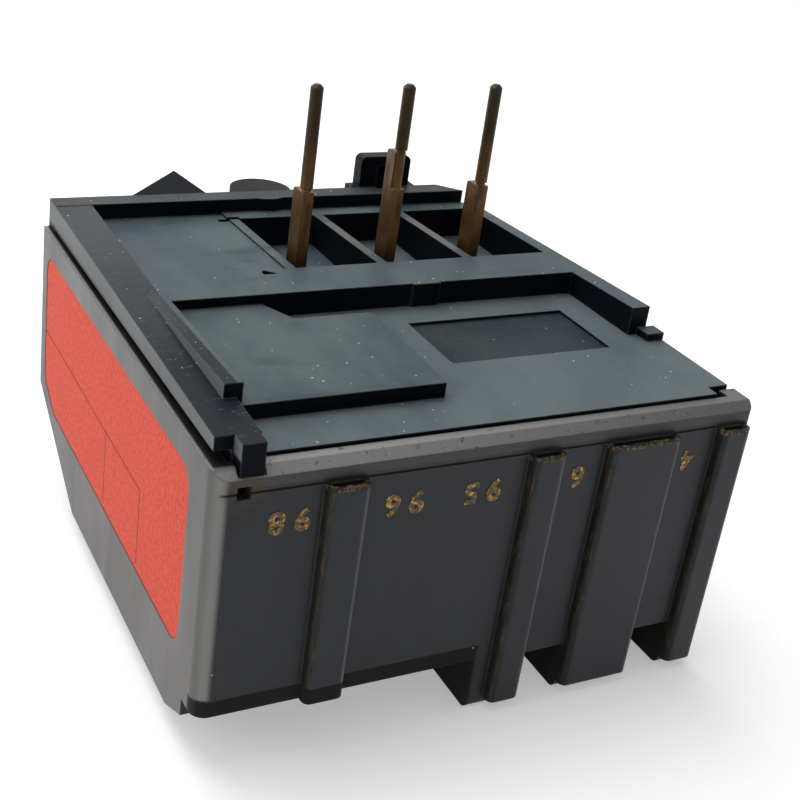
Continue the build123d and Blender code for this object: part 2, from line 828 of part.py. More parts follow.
def make_slide_guides():
    """Two guide brackets under the trip slide, standing on the front panel."""
    guides = []
    for place in (bimetal_places[0] - bimetal_right_of_pin, bimetal_places[-1] - bimetal_right_of_pin):
        half = slide_guide_width / 2
        depth = slide_depth / 2 + bracket_thickness
        back = (bimetal_back - depth, bimetal_back + depth)
        slope = (far_edge_level - front_level) / (body_depth - front_end_back)
        rise = slope * (back[1] - front_end_back + wall / 2)
        low = front_level + wall
        outline = [
            (back[0], low), (front_end_back - wall / 2, low), (back[1], low + rise),
            (back[1], slide_level + slide_thickness + bracket_thickness),
            (back[1] - bracket_thickness + sliding_fit, slide_level + slide_thickness + bracket_thickness),
            (back[1] - bracket_thickness + sliding_fit, slide_level - sliding_fit),
            (back[0] + bracket_thickness - sliding_fit, slide_level - sliding_fit),
            (back[0] + bracket_thickness - sliding_fit, slide_level + slide_thickness + bracket_thickness),
            (back[0], slide_level + slide_thickness + bracket_thickness),
        ]
        guides.append(side_prism(outline, place - half, place + half))
    return Compound(guides)


def make_trip_lever():
    """The lever that carries the compensating strip and lifts the contact arm."""
    back = (lever_back - lever_width / 2, lever_back + lever_width / 2)
    hub = cross_rod(lever_pivot_across, lever_pivot_level, lever_hub_radius, *back)
    arm_low = lever_pivot_level - lever_arm_drop
    arm_end = contact_tip_across - contact_tip_radius - lever_finger_gap - lever_finger_width
    body = hub + block((arm_end, lever_pivot_across), back, (arm_low, arm_low + lever_arm_thickness))
    finger_top = contact_pivot_level - contact_arm_thickness / 2 - contact_finger_gap
    body += block((arm_end, arm_end + lever_finger_width), back, (arm_low, finger_top))
    body -= cross_rod(lever_pivot_across, lever_pivot_level, lever_pivot_radius + turning_fit, 0, through)
    seat = lever_hub_radius - compensator_thickness
    half = compensator_thickness / 2
    return body - block((lever_pivot_across - half, lever_pivot_across + half), back,
                        (lever_pivot_level - lever_hub_radius, lever_pivot_level - seat))


def make_compensator():
    """The compensating strip, riveted into the lever's hub."""
    back = (lever_back - lever_width / 2, lever_back + lever_width / 2)
    half = compensator_thickness / 2
    top = lever_pivot_level - lever_hub_radius + compensator_thickness
    return block((lever_pivot_across - half, lever_pivot_across + half), back, (compensator_tip_level, top))


def make_lever_bracket():
    """The bracket with two ears that carries the lever's pivot pin."""
    outer = lever_width / 2 + running_gap + bracket_thickness
    inner = lever_width / 2 + running_gap
    half = lever_hub_radius + running_gap
    top = cover_underside
    place = lever_pivot_across
    body = block((place - half, place + half), (lever_back - outer, lever_back + outer),
                 (lever_pivot_level - half, top))
    body -= block((0, body_width), (lever_back - inner, lever_back + inner), (0, top - bracket_thickness))
    return body - cross_rod(place, lever_pivot_level, lever_pivot_radius + seat_fit, 0, through)


def make_lever_pin():
    """The pivot pin of the trip lever."""
    reach = lever_width / 2 + running_gap + bracket_thickness
    return cross_rod(lever_pivot_across, lever_pivot_level, lever_pivot_radius,
                     lever_back - reach, lever_back + reach)


def make_contact_arm():
    """The moving contact arm, with its hub."""
    half = contact_arm_depth / 2
    back = (contact_back - half, contact_back + half)
    hub = cross_rod(contact_pivot_across, contact_pivot_level, contact_hub_radius, *back)
    thick = contact_arm_thickness / 2
    body = hub + block((contact_pivot_across, contact_pivot_across + contact_arm_length), back,
                       (contact_pivot_level - thick, contact_pivot_level + thick))
    bore = contact_pivot_radius + turning_fit
    return body - cross_rod(contact_pivot_across, contact_pivot_level, bore, 0, through)


def make_contact_tips():
    """The silver tips on both faces of the arm."""
    thick = contact_arm_thickness / 2
    place = contact_tip_across
    upper = rod(place, contact_back, contact_tip_radius, contact_pivot_level + thick,
                contact_pivot_level + thick + contact_tip_height)
    lower = rod(place, contact_back, contact_tip_radius, contact_pivot_level - thick - contact_tip_height,
                contact_pivot_level - thick)
    return Compound([upper, lower])


def tip_rise():
    """How far the tip rises when the relay trips, at its far side."""
    reach = contact_tip_across + contact_tip_radius - contact_pivot_across
    return reach * math.tan(math.radians(contact_angle))


def make_fixed_contact(rising):
    """A fixed contact strip with its tip: the opening one below, the closing one above."""
    thick = contact_arm_thickness / 2 + contact_tip_height + contact_rest_gap
    place = contact_tip_across
    side = 1 if rising else -1
    face = contact_pivot_level + side * thick + (tip_rise() if rising else 0)
    outer = face + side * contact_tip_height
    far = outer + side * fixed_strip_thickness
    tip = rod(place, contact_back, contact_tip_radius, min(face, outer), max(face, outer))
    half = fixed_strip_width / 2
    post_start = contact_back + contact_arm_depth
    strip = block((place - half, place + half), (contact_back - half, post_start + fixed_strip_width),
                  (min(outer, far), max(outer, far)))
    return tip + strip


def make_contact_holder():
    """The moulded holder that carries the fixed contacts and the arm's pivot."""
    place = contact_tip_across
    thick = contact_arm_thickness / 2 + contact_tip_height + contact_rest_gap
    low = contact_pivot_level - thick - contact_tip_height - fixed_strip_thickness
    high = contact_pivot_level + thick + tip_rise() + contact_tip_height + fixed_strip_thickness
    half = fixed_strip_width / 2
    post_start = contact_back + contact_arm_depth
    post_across = (wall + slip_fit, place + half + bracket_thickness)
    post_back = (post_start, post_start + fixed_strip_width)
    body = block(post_across, post_back, (low - bracket_thickness, high + holder_top_margin))
    ear = contact_hub_radius + running_gap
    body += block((contact_pivot_across - ear, contact_pivot_across + ear),
                  (contact_back + contact_arm_depth / 2 + running_gap, post_start + slip_fit),
                  (contact_pivot_level - ear, contact_pivot_level + ear))
    body -= make_fixed_contact(True)
    body -= make_fixed_contact(False)
    bore = contact_pivot_radius + seat_fit
    return body - cross_rod(contact_pivot_across, contact_pivot_level, bore, 0, through)


def make_contact_pin():
    """The pivot pin of the contact arm."""
    start = contact_back - contact_arm_depth / 2 - running_gap
    return cross_rod(contact_pivot_across, contact_pivot_level, contact_pivot_radius, start,
                     contact_back + contact_arm_depth + fixed_strip_width)


def make_control_terminal(index):
    """One control terminal's plate and the tail that carries its contact lead."""
    across = control_terminal_places[index]
    half = conductor_width / 2
    tail = block((across - half, across + half), (bay_wall_back, bay_wall_back + bay_wall + running_gap),
                 (terminal_plate_level, terminal_ceiling))
    return terminal_plate(across) + tail


def conductor_slots():
    """Slots in the bay wall for the six conductors."""
    half = conductor_width / 2 + slip_fit
    slots = [
        block((across - half, across + half), (bay_wall_back - slip_fit, bay_wall_back + bay_wall + slip_fit),
              (terminal_plate_level - slip_fit, terminal_ceiling + slip_fit))
        for across in terminal_places()
    ]
    return Compound(slots)


def make_mechanism_plate():
    """The plate over the controls, carried on the housing's posts."""
    top = plate_bottom_level + plate_thickness
    body = block((plate_left_across, plate_right_across), (plate_start_back, plate_end_back),
                 (plate_bottom_level, top))
    body = fillet(body.edges().filter_by(Axis.Z), corner_radius)
    body -= rod(dial_across, dial_back, dial_stem_radius + turning_fit, 0, through)
    for across, back in ((reset_across, reset_back), (test_across, test_back)):
        body -= rod(across, back, button_stem_radius + running_gap / 2, 0, through)
    return body - rod(calibration_across, calibration_back, calibration_radius, 0, through)


def make_dial():
    """The setting dial, with a fluted rim and a screwdriver slot."""
    low = front_level + face_recess
    rim_top = front_level + wall + slip_fit
    body = rod(dial_across, dial_back, dial_radius, low, rim_top)
    edge = body.edges().filter_by(GeomType.CIRCLE).sort_by(Axis.Z)[0]
    body = chamfer(edge, dial_flute_radius)
    for index in range(dial_flutes):
        angle = 2 * math.pi * index / dial_flutes
        place = (dial_across + dial_radius * math.cos(angle), dial_back + dial_radius * math.sin(angle))
        body -= rod(*place, dial_flute_radius, 0, through)
    half = dial_slot_width / 2
    slot_across = (dial_across - dial_slot_reach, dial_across + dial_slot_reach)
    body -= block(slot_across, (dial_back - half, dial_back + half), (0, low + dial_slot_depth))
    flange_top = rim_top + dial_flange_height
    body += rod(dial_across, dial_back, dial_radius + dial_flange_rise, rim_top, flange_top)
    stem_top = plate_bottom_level + plate_thickness
    return body + rod(dial_across, dial_back, dial_stem_radius, flange_top, stem_top)


def make_cam():
    """The eccentric cam on the dial's stem."""
    top = plate_bottom_level - slip_fit - wave_washer_thickness - slip_fit
    body = rod(dial_across + cam_offset, dial_back, cam_radius, top - cam_height, top)
    return body - rod(dial_across, dial_back, dial_stem_radius, 0, through)


def make_dial_washer():
    """The wave washer that holds the dial where it is put."""
    top = plate_bottom_level - slip_fit
    body = rod(dial_across, dial_back, wave_washer_radius, top - wave_washer_thickness, top)
    return body - rod(dial_across, dial_back, dial_stem_radius + running_gap, 0, through)


def make_button(across, back, radius, travel):
    """A push button with its flange and a stem whose shoulder stops it at the plate."""
    low = front_level + face_recess
    flange_low = front_level + wall + slip_fit
    flange_top = flange_low + button_flange_height
    body = rod(across, back, radius, low, flange_low)
    edge = body.edges().filter_by(GeomType.CIRCLE).sort_by(Axis.Z)[0]
    body = chamfer(edge, button_edge)
    body += rod(across, back, radius + button_flange_rise, flange_low, flange_top)
    shoulder_top = plate_bottom_level - travel
    body += rod(across, back, button_stem_radius + button_shoulder, flange_top, shoulder_top)
    stem_top = plate_bottom_level + button_stem_margin
    return body + rod(across, back, button_stem_radius, shoulder_top, stem_top)


def make_spring(across, back, radius):
    """A return spring between a button's flange and the mechanism plate."""
    low = front_level + wall + slip_fit + button_flange_height + spring_wire / 2 + slip_fit
    high = plate_bottom_level - spring_wire / 2 - slip_fit
    coil = radius + button_flange_rise - spring_wire
    path = Helix((high - low) / spring_turns, high - low, coil)
    start = Plane(origin=path @ 0, z_dir=path % 0)
    wire = sweep(start * RegularPolygon(spring_wire / 2, spring_wire_sides), path=path, is_frenet=True)
    return Pos(left + across, near + back, low) * wire


def make_calibration_screw():
    """The sealed calibration screw beside the dial."""
    low = front_level + face_recess
    head_radius = calibration_head_radius
    head = rod(calibration_across, calibration_back, head_radius, low, low + head_radius)
    half = screw_slot_width / 2
    slot_across = (calibration_across - calibration_head_radius, calibration_across + calibration_head_radius)
    head -= block(slot_across, (calibration_back - half, calibration_back + half), (0, low + screw_slot_depth))
    return head + rod(calibration_across, calibration_back, calibration_radius - slip_fit,
                      low + calibration_head_radius, plate_bottom_level + plate_thickness)


def make_parts():
    """Every node of the relay, by name."""
    parts = {
        "housing": make_housing() - conductor_slots(),
        "rear_cover": make_rear_cover(),
        "rating_label": make_label(),
        "terminal_block": make_terminal_block(),
        "bimetal_carrier": make_carrier(),
        "trip_slide": make_trip_slide(),
        "slide_guides": make_slide_guides(),
        "trip_lever": make_trip_lever(),
        "compensating_strip": make_compensator(),
        "lever_bracket": make_lever_bracket(),
        "lever_pivot_pin": make_lever_pin(),
        "contact_arm": make_contact_arm(),
        "contact_tips": make_contact_tips(),
        "closing_contact": make_fixed_contact(True),
        "opening_contact": make_fixed_contact(False),
        "contact_holder": make_contact_holder(),
        "contact_pivot_pin": make_contact_pin(),
        "mechanism_plate": make_mechanism_plate(),
        "setting_dial": make_dial(),
        "dial_cam": make_cam(),
        "dial_wave_washer": make_dial_washer(),
        "reset_button": make_button(reset_across, reset_back, reset_radius, reset_travel),
        "reset_spring": make_spring(reset_across, reset_back, reset_radius),
        "test_button": make_button(test_across, test_back, test_radius, test_travel),
        "test_spring": make_spring(test_across, test_back, test_radius),
        "calibration_screw": make_calibration_screw(),
    }
    names = ("left", "middle", "right")
    for index, name in enumerate(names):
        parts["contact_pin_" + name] = make_pin(pin_places[index], name == "middle")
        parts["bimetal_" + name] = make_bimetal(bimetal_places[index])
        parts["heater_winding_" + name] = make_heater(bimetal_places[index])
        parts["main_conductor_" + name] = make_main_conductor(index)
    for index, number in enumerate(("98", "96", "95")):
        parts["control_terminal_" + number] = make_control_terminal(index)
    parts["main_terminal_screws"] = Compound([make_terminal_screw(p) for p in main_terminal_places])
    parts["main_clamp_washers"] = Compound([make_clamp_washer(p) for p in main_terminal_places])
    parts["control_terminal_screws"] = Compound([make_terminal_screw(p) for p in control_terminal_places])
    parts["control_clamp_washers"] = Compound([make_clamp_washer(p) for p in control_terminal_places])
    return parts


os.makedirs("parts", exist_ok=True)
for node, shape in make_parts().items():
    export_step(shape, "parts/" + node + ".step")
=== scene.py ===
import math

import bmesh
import bpy
from mathutils import Matrix, Vector


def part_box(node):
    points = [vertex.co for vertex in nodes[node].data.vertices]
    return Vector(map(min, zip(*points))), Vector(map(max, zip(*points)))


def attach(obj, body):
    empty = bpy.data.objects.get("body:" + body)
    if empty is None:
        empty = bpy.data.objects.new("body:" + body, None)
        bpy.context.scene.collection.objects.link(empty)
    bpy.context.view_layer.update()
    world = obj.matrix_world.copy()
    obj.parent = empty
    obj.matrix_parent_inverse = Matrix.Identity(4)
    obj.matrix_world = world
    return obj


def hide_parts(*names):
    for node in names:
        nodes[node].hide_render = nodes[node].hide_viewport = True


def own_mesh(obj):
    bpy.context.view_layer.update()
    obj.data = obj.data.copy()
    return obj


# A thermal overload relay lying on its user side, with its three contact pins up.
# It is dressed in the order in which it is put together, one section for each piece.

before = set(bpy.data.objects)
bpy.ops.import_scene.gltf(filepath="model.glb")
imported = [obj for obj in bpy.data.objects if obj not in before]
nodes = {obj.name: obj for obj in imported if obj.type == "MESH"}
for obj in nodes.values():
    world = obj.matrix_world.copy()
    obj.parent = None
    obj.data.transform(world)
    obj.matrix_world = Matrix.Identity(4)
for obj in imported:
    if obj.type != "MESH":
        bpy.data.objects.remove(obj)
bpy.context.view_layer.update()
millimetre = 0.001


# Housing
# The deep tray that carries everything, pressed from a grey-black thermoset. Handling has
# rubbed its corners and ribs to a brown shine, and the bare rim is lighter, with a painted
# glare that fades towards the right. The left wall has a painted sheen, its near corner a
# painted reflection and the ribs' right flanks a painted highlight. Painted shade blackens
# the gap under the cover's flange, the barrier flanks, the ribs' left flanks, the rib tops
# under the lip and a strip below the near wall's foot.


def new_tree(kind, name, inputs, outputs):
    """A node tree with number inputs and its outputs, and the nodes at its two ends."""
    tree = bpy.data.node_groups.new(name, kind)
    for label, value in inputs.items():
        input_type = "NodeSocketInt" if isinstance(value, int) else "NodeSocketFloat"
        socket = tree.interface.new_socket(label, in_out="INPUT", socket_type=input_type)
        socket.default_value = value
    output_type = "NodeSocketGeometry" if kind == "GeometryNodeTree" else "NodeSocketFloat"
    for label in outputs:
        tree.interface.new_socket(label, in_out="OUTPUT", socket_type=output_type)
    return tree, tree.nodes.new("NodeGroupInput"), tree.nodes.new("NodeGroupOutput")


def feed(tree, value, socket):
    """Gives a socket a colour, a number or the value of another socket."""
    if isinstance(value, tuple):
        socket.default_value = (*value, 1.0)
    elif isinstance(value, (int, float)):
        socket.default_value = value
    else:
        tree.links.new(value, socket)


def number(tree, operation, *values):
    """A sum on numbers or sockets, and its result."""
    node = tree.nodes.new("ShaderNodeMath")
    node.operation = operation
    for socket, value in zip(node.inputs, values):
        feed(tree, value, socket)
    return node.outputs[0]


def product(tree, *shares):
    """Shares, as numbers or sockets, multiplied together."""
    whole = shares[0]
    for share in shares[1:]:
        whole = number(tree, "MULTIPLY", whole, share)
    return whole


def remap(tree, value, low, high, to_low=0.0, to_high=1.0):
    """A value spread from one span to another, held inside it."""
    node = tree.nodes.new("ShaderNodeMapRange")
    tree.links.new(value, node.inputs["Value"])
    node.inputs["From Min"].default_value = low
    node.inputs["From Max"].default_value = high
    node.inputs["To Min"].default_value = to_low
    node.inputs["To Max"].default_value = to_high
    return node.outputs["Result"]


def between(tree, value, low, high, softness):
    """A soft mask that is 1 where a value lies in a span."""
    rising = remap(tree, value, low - softness, low + softness)
    falling = remap(tree, value, high - softness, high + softness, 1.0, 0.0)
    return product(tree, rising, falling)


def tint(tree, share, first, second):
    """A colour between two others."""
    node = tree.nodes.new("ShaderNodeMix")
    node.data_type = "RGBA"
    colours = [socket for socket in node.inputs if socket.type == "RGBA"]
    feed(tree, first, colours[0])
    feed(tree, second, colours[1])
    feed(tree, share, node.inputs[0])
    return node.outputs[2]


def paint(tree, under, colour, *shares):
    """A colour laid over another by the product of some shares."""
    return tint(tree, product(tree, *shares), under, colour)


def place(tree, scale=(1.0, 1.0, 1.0)):
    """The point on the piece, in metres, stretched along its axes."""
    source = tree.nodes.new("ShaderNodeTexCoord")
    mapping = tree.nodes.new("ShaderNodeMapping")
    mapping.inputs["Scale"].default_value = scale
    tree.links.new(source.outputs["Object"], mapping.inputs["Vector"])
    return mapping.outputs["Vector"]


def noise(tree, vector, scale, detail=3.0, roughness=0.55, distortion=0.0):
    """Cloudy noise with a number of swellings to the metre."""
    node = tree.nodes.new("ShaderNodeTexNoise")
    node.inputs["Detail"].default_value = detail
    node.inputs["Roughness"].default_value = roughness
    node.inputs["Distortion"].default_value = distortion
    tree.links.new(vector, node.inputs["Vector"])
    feed(tree, scale, node.inputs["Scale"])
    return node.outputs["Fac"]


def use_group(tree, group, values):
    """A shader group placed in a material with its own values."""
    node = tree.nodes.new("ShaderNodeGroup")
    node.node_tree = group
    for label, value in values.items():
        node.inputs[label].default_value = value
    return node


edge_wear, inside, outside = new_tree(
    "ShaderNodeTree", "edge wear", {"radius": 0.0004, "patchiness": 0.5, "patch scale": 700.0}, ["mask"])
rounded = edge_wear.nodes.new("ShaderNodeBevel")
rounded.samples = 6
edge_wear.links.new(inside.outputs["radius"], rounded.inputs["Radius"])
true_normal = edge_wear.nodes.new("ShaderNodeNewGeometry")
likeness = edge_wear.nodes.new("ShaderNodeVectorMath")
likeness.operation = "DOT_PRODUCT"
edge_wear.links.new(rounded.outputs[0], likeness.inputs[0])
edge_wear.links.new(true_normal.outputs["True Normal"], likeness.inputs[1])
edge = remap(edge_wear, likeness.outputs["Value"], 0.995, 0.85)
patches = noise(edge_wear, place(edge_wear), inside.outputs["patch scale"], 4.0, 0.5)
missing = product(edge_wear, number(edge_wear, "SUBTRACT", 0.75, patches),
                  product(edge_wear, inside.outputs["patchiness"], 3.0))
left_over = number(edge_wear, "SUBTRACT", 1.0, missing)
edge_wear.links.new(product(edge_wear, edge, left_over), outside.inputs["mask"])

moulding_skin, inside, outside = new_tree(
    "ShaderNodeTree", "moulding skin", {"grain": 2600.0, "flow": 160.0}, ["height", "cloud"])
grain = noise(moulding_skin, place(moulding_skin), inside.outputs["grain"], 5.0, 0.5)
flow = noise(moulding_skin, place(moulding_skin, (1.0, 1.0, 0.35)), inside.outputs["flow"], 3.0, 0.5, 0.6)
moulding_skin.links.new(grain, outside.inputs["height"])
moulding_skin.links.new(remap(moulding_skin, flow, 0.35, 0.68), outside.inputs["cloud"])

dust_specks, inside, outside = new_tree(
    "ShaderNodeTree", "dust specks", {"scale": 900.0, "size": 0.05, "share": 0.12}, ["mask"])
cells = dust_specks.nodes.new("ShaderNodeTexVoronoi")
dust_specks.links.new(place(dust_specks), cells.inputs["Vector"])
dust_specks.links.new(inside.outputs["scale"], cells.inputs["Scale"])
cell_colour = dust_specks.nodes.new("ShaderNodeSeparateColor")
dust_specks.links.new(cells.outputs["Color"], cell_colour.inputs[0])
chosen = number(dust_specks, "LESS_THAN", cell_colour.outputs[0], inside.outputs["share"])
speck_radius = product(dust_specks, inside.outputs["size"],
                       number(dust_specks, "ADD", cell_colour.outputs[1], 0.35))
near_middle = number(dust_specks, "LESS_THAN", cells.outputs["Distance"], speck_radius)
dust_specks.links.new(product(dust_specks, chosen, near_middle), outside.inputs["mask"])


def new_material(name, **settings):
    """A material with one Principled shader, its node tree and that shader."""
    material = bpy.data.materials.new(name)
    material.use_nodes = True
    shader = material.node_tree.nodes["Principled BSDF"]
    for key, value in settings.items():
        shader.inputs[key.replace("_", " ").title()].default_value = value
    return material, material.node_tree, shader


def bump(tree, shader, height, depth, rounding=None):
    """Fine relief on a shader, over edges that look rounded."""
    node = tree.nodes.new("ShaderNodeBump")
    node.inputs["Distance"].default_value = depth
    tree.links.new(height, node.inputs["Height"])
    if rounding:
        soft = tree.nodes.new("ShaderNodeBevel")
        soft.samples = 6
        soft.inputs["Radius"].default_value = rounding
        tree.links.new(soft.outputs[0], node.inputs["Normal"])
    tree.links.new(node.outputs[0], shader.inputs["Normal"])


def dress(node_name, material):
    """Gives a carried-over piece of the relay its finish."""
    slots = nodes[node_name].data.materials
    slots.clear()
    slots.append(material)


# The masks below are in millimetres: across from the left side, back from the near face
# and up from the floor.
housing_low, housing_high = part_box("housing")
rib_proud = 1.2
near_face = housing_low.y + rib_proud * millimetre
rim_level = housing_high.z / millimetre
rim_depth = 1.2
rib_top = rim_level - 2.4
wall_foot = 8.4
first_barrier = 31.0
barrier_reach = 9.0
corner_strip = 1.6
corner_depth = 2.4
gap_start = 0.25
gap_end = 3.0
left_wall_depth = 1.8
foot_depth = 2.0
stain_across = 3.0
stain_reach = 2.4 * millimetre
stain_core = 0.7 * millimetre
housing_grey = (0.0150, 0.0168, 0.0215)
housing_cloud_grey = (0.0230, 0.0250, 0.0300)
rim_grey_and_glare = (0.232, 0.234, 0.234)
rim_dark_grey = (0.110, 0.113, 0.118)
left_wall_painted_sheen = (0.092, 0.093, 0.090)
corner_painted_reflection = (0.235, 0.230, 0.220)
band_grey = (0.072, 0.070, 0.068)
worn_brown = (0.062, 0.046, 0.022)
corner_brown = (0.105, 0.092, 0.075)
# Black for the dark seam, and for the painted shade below.
black_seam_and_shade = (0.006, 0.005, 0.004)
grit_gold = (0.15, 0.10, 0.04)
rib_edge_painted_highlight = (0.120, 0.130, 0.140)
stain_brown = (0.060, 0.038, 0.016)
speck_white = (0.42, 0.42, 0.40)


def facing(tree, axis):
    """How far the surface faces along an axis, from -1 to 1."""
    geometry = tree.nodes.new("ShaderNodeNewGeometry")
    split = tree.nodes.new("ShaderNodeSeparateXYZ")
    tree.links.new(geometry.outputs["True Normal"], split.inputs[0])
    return split.outputs[axis]


def measured(tree, axis):
    """Millimetres across from the left side, back from the near face or up from the floor."""
    start = {"X": housing_low.x, "Y": near_face, "Z": 0.0}[axis]
    split = tree.nodes.new("ShaderNodeSeparateXYZ")
    tree.links.new(place(tree), split.inputs[0])
    length = number(tree, "SUBTRACT", split.outputs[axis], start)
    return number(tree, "DIVIDE", length, millimetre)


housing_skin, tree, shader = new_material("housing thermoset", roughness=0.42)
shader.inputs["Specular IOR Level"].default_value = 0.25
across = measured(tree, "X")
back = measured(tree, "Y")
level = measured(tree, "Z")
sideways = facing(tree, "X")
skin = use_group(tree, moulding_skin, {"grain": 2600.0, "flow": 150.0})
body = tint(tree, skin.outputs["cloud"], housing_grey, housing_cloud_grey)

on_rim = product(tree, remap(tree, facing(tree, "Z"), 0.3, 0.6),
                 remap(tree, level, rim_level - rim_depth, rim_level - rim_depth + 0.2))
off_rim = number(tree, "SUBTRACT", 1.0, on_rim)
nicks = remap(tree, noise(tree, place(tree), 1300.0, 6.0, 0.7), 0.58, 0.70)
# The rim top is a worn lighter grey with nicks; its fade from light at the left to darker at the right is
# painted glare.
rim_wear_and_glare = tint(tree, remap(tree, across, 12.0, 56.0), rim_grey_and_glare, rim_dark_grey)
body = paint(tree, body, tint(tree, nicks, rim_wear_and_glare, housing_cloud_grey), on_rim)
band = remap(tree, level, rib_top + 0.4, rib_top + 0.7, 0.0, 0.7)
body = paint(tree, body, band_grey, band, off_rim)
seam = between(tree, level, rib_top, rib_top + 0.25, 0.1)
body = paint(tree, body, black_seam_and_shade, seam, remap(tree, back, 0.3, 0.1), 0.4)

left_facing = remap(tree, sideways, -0.7, -0.95)
outer_side = remap(tree, across, left_wall_depth, 0.4)
# The outer face of the left wall is painted lighter as a painted sheen.
body = paint(tree, body, left_wall_painted_sheen, left_facing, outer_side)
# The rounded near-left corner is painted pale as a painted reflection.
corner_reflection_tone = tint(tree, remap(tree, sideways, -0.55, -0.97), corner_painted_reflection, left_wall_painted_sheen)
near_corner = product(tree, remap(tree, across, corner_strip, corner_strip - 0.5),
                      remap(tree, back, corner_depth, corner_depth - 0.4),
                      remap(tree, level, wall_foot, wall_foot + 0.2))
body = paint(tree, body, corner_reflection_tone, near_corner, off_rim)
# The rim's inner edge under the cover's flange is painted black as the gap's shadow.
cover_gap_shadow = product(tree, remap(tree, across, gap_start, gap_start + 0.2),
                    remap(tree, across, gap_end, gap_end - 0.5), remap(tree, back, 0.6, 1.4))
body = paint(tree, body, black_seam_and_shade, cover_gap_shadow, on_rim)
# The inner left-facing flanks by the barriers are painted black as painted shade.
shaded_flanks = product(tree, left_facing, number(tree, "SUBTRACT", 1.0, outer_side),
                 remap(tree, back, barrier_reach, barrier_reach - 1.0))
body = paint(tree, body, black_seam_and_shade, shaded_flanks)

wear = use_group(tree, edge_wear, {"radius": 0.45 * millimetre, "patchiness": 0.4, "patch scale": 480.0})
body = paint(tree, body, corner_brown, wear.outputs["mask"], 0.5)
on_ribs = remap(tree, back, -0.05, -0.2)
# The ribs' left flanks are painted black as painted shade, streaked with brown wear.
streaks = remap(tree, noise(tree, place(tree, (1.0, 1.0, 0.12)), 2600.0, 6.0, 0.7), 0.52, 0.70)
streak_wear_and_shade = tint(tree, streaks, black_seam_and_shade, worn_brown)
body = paint(tree, body, streak_wear_and_shade, on_ribs, remap(tree, sideways, -0.15, -0.4))
# The ribs' right flanks carry a pale painted highlight.
body = paint(tree, body, rib_edge_painted_highlight, on_ribs, remap(tree, sideways, 0.15, 0.4), 0.7)
# The tops of the ribs, under the lip, are painted black as painted shade, flecked with gold grit.
grit = remap(tree, noise(tree, place(tree), 2600.0, 3.0), 0.48, 0.62)
grit_and_lip_shade = tint(tree, grit, black_seam_and_shade, grit_gold)
body = paint(tree, body, grit_and_lip_shade, on_ribs, remap(tree, level, rib_top - 0.5, rib_top - 0.3))

# A strip at the foot of the near wall is painted near black as the painted shade of a step.
foot_step_shade = product(tree, remap(tree, level, wall_foot, wall_foot - 0.15),
               remap(tree, across, first_barrier, first_barrier - 0.5),
               remap(tree, back, foot_depth, foot_depth - 0.5))
body = paint(tree, body, black_seam_and_shade, foot_step_shade, 0.85)
away = tree.nodes.new("ShaderNodeVectorMath")
away.operation = "DISTANCE"
away.inputs[1].default_value = (housing_low.x + stain_across * millimetre, near_face, rib_top * millimetre)
tree.links.new(place(tree), away.inputs[0])
stain = remap(tree, away.outputs["Value"], stain_reach, stain_core)
stain_patches = remap(tree, noise(tree, place(tree), 1400.0, 4.0), 0.35, 0.6)
body = paint(tree, body, stain_brown, stain, stain_patches)
specks = use_group(tree, dust_specks, {"scale": 420.0, "size": 0.045, "share": 0.10})
body = paint(tree, body, speck_white, specks.outputs["mask"])
tree.links.new(body, shader.inputs["Base Color"])
dull = product(tree, number(tree, "MAXIMUM", shaded_flanks, foot_step_shade), 0.5)
polish = remap(tree, skin.outputs["cloud"], 0.0, 1.0, 0.36, 0.48)
tree.links.new(number(tree, "ADD", polish, dull), shader.inputs["Roughness"])
bump(tree, shader, skin.outputs["height"], 0.02 * millimetre, 0.25 * millimetre)
dress("housing", housing_skin)


# Terminal numbers
# Plain numbers on the near face over the wire entries, in gold paint that has crumbled.
# They stand on their heads, because the relay lies on its user side.

number_height = 2.3 * millimetre
number_level = (rim_level - 5.7) * millimetre
number_relief = 0.06 * millimetre
number_boldness = 0.12 * millimetre
number_spacing = 1.6
number_places = {"98": 7.6, "96": 19.25, "95": 27.75, "6": 38.7, "4": 52.5}
letter_size = 1.38

number_paint, tree, shader = new_material("crumbled gold paint", roughness=0.5)
flakes = remap(tree, noise(tree, place(tree), 3000.0, 4.0), 0.48, 0.64)
gold = tint(tree, flakes, (0.070, 0.040, 0.012), (0.52, 0.32, 0.09))
tree.links.new(gold, shader.inputs["Base Color"])
tree.links.new(remap(tree, flakes, 0.0, 1.0, 0.1, 0.55), shader.inputs["Metallic"])
bump(tree, shader, flakes, 0.05 * millimetre)


def raised_text(text, height, relief, boldness, spacing):
    """Plain writing as a thin raised mesh round the origin, face up."""
    curve = bpy.data.curves.new("writing " + text, "FONT")
    curve.body = text
    curve.size = height * letter_size
    curve.extrude = relief
    curve.offset = boldness
    curve.space_character = spacing
    curve.align_x = "CENTER"
    curve.align_y = "CENTER"
    curve.resolution_u = 6
    writing = bpy.data.objects.new("writing " + text, curve)
    bpy.context.scene.collection.objects.link(writing)
    bpy.context.view_layer.update()
    mesh = bpy.data.meshes.new_from_object(writing.evaluated_get(bpy.context.evaluated_depsgraph_get()))
    bpy.data.objects.remove(writing)
    return mesh


def joined_piece(name, meshes, material, body):
    """One piece made of several meshes, on its body and with its material slot."""
    whole = bmesh.new()
    for mesh in meshes:
        whole.from_mesh(mesh)
    mesh = bpy.data.meshes.new(name)
    whole.to_mesh(mesh)
    whole.free()
    mesh.materials.append(material)
    piece = bpy.data.objects.new(name, mesh)
    bpy.context.scene.collection.objects.link(piece)
    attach(piece, body)


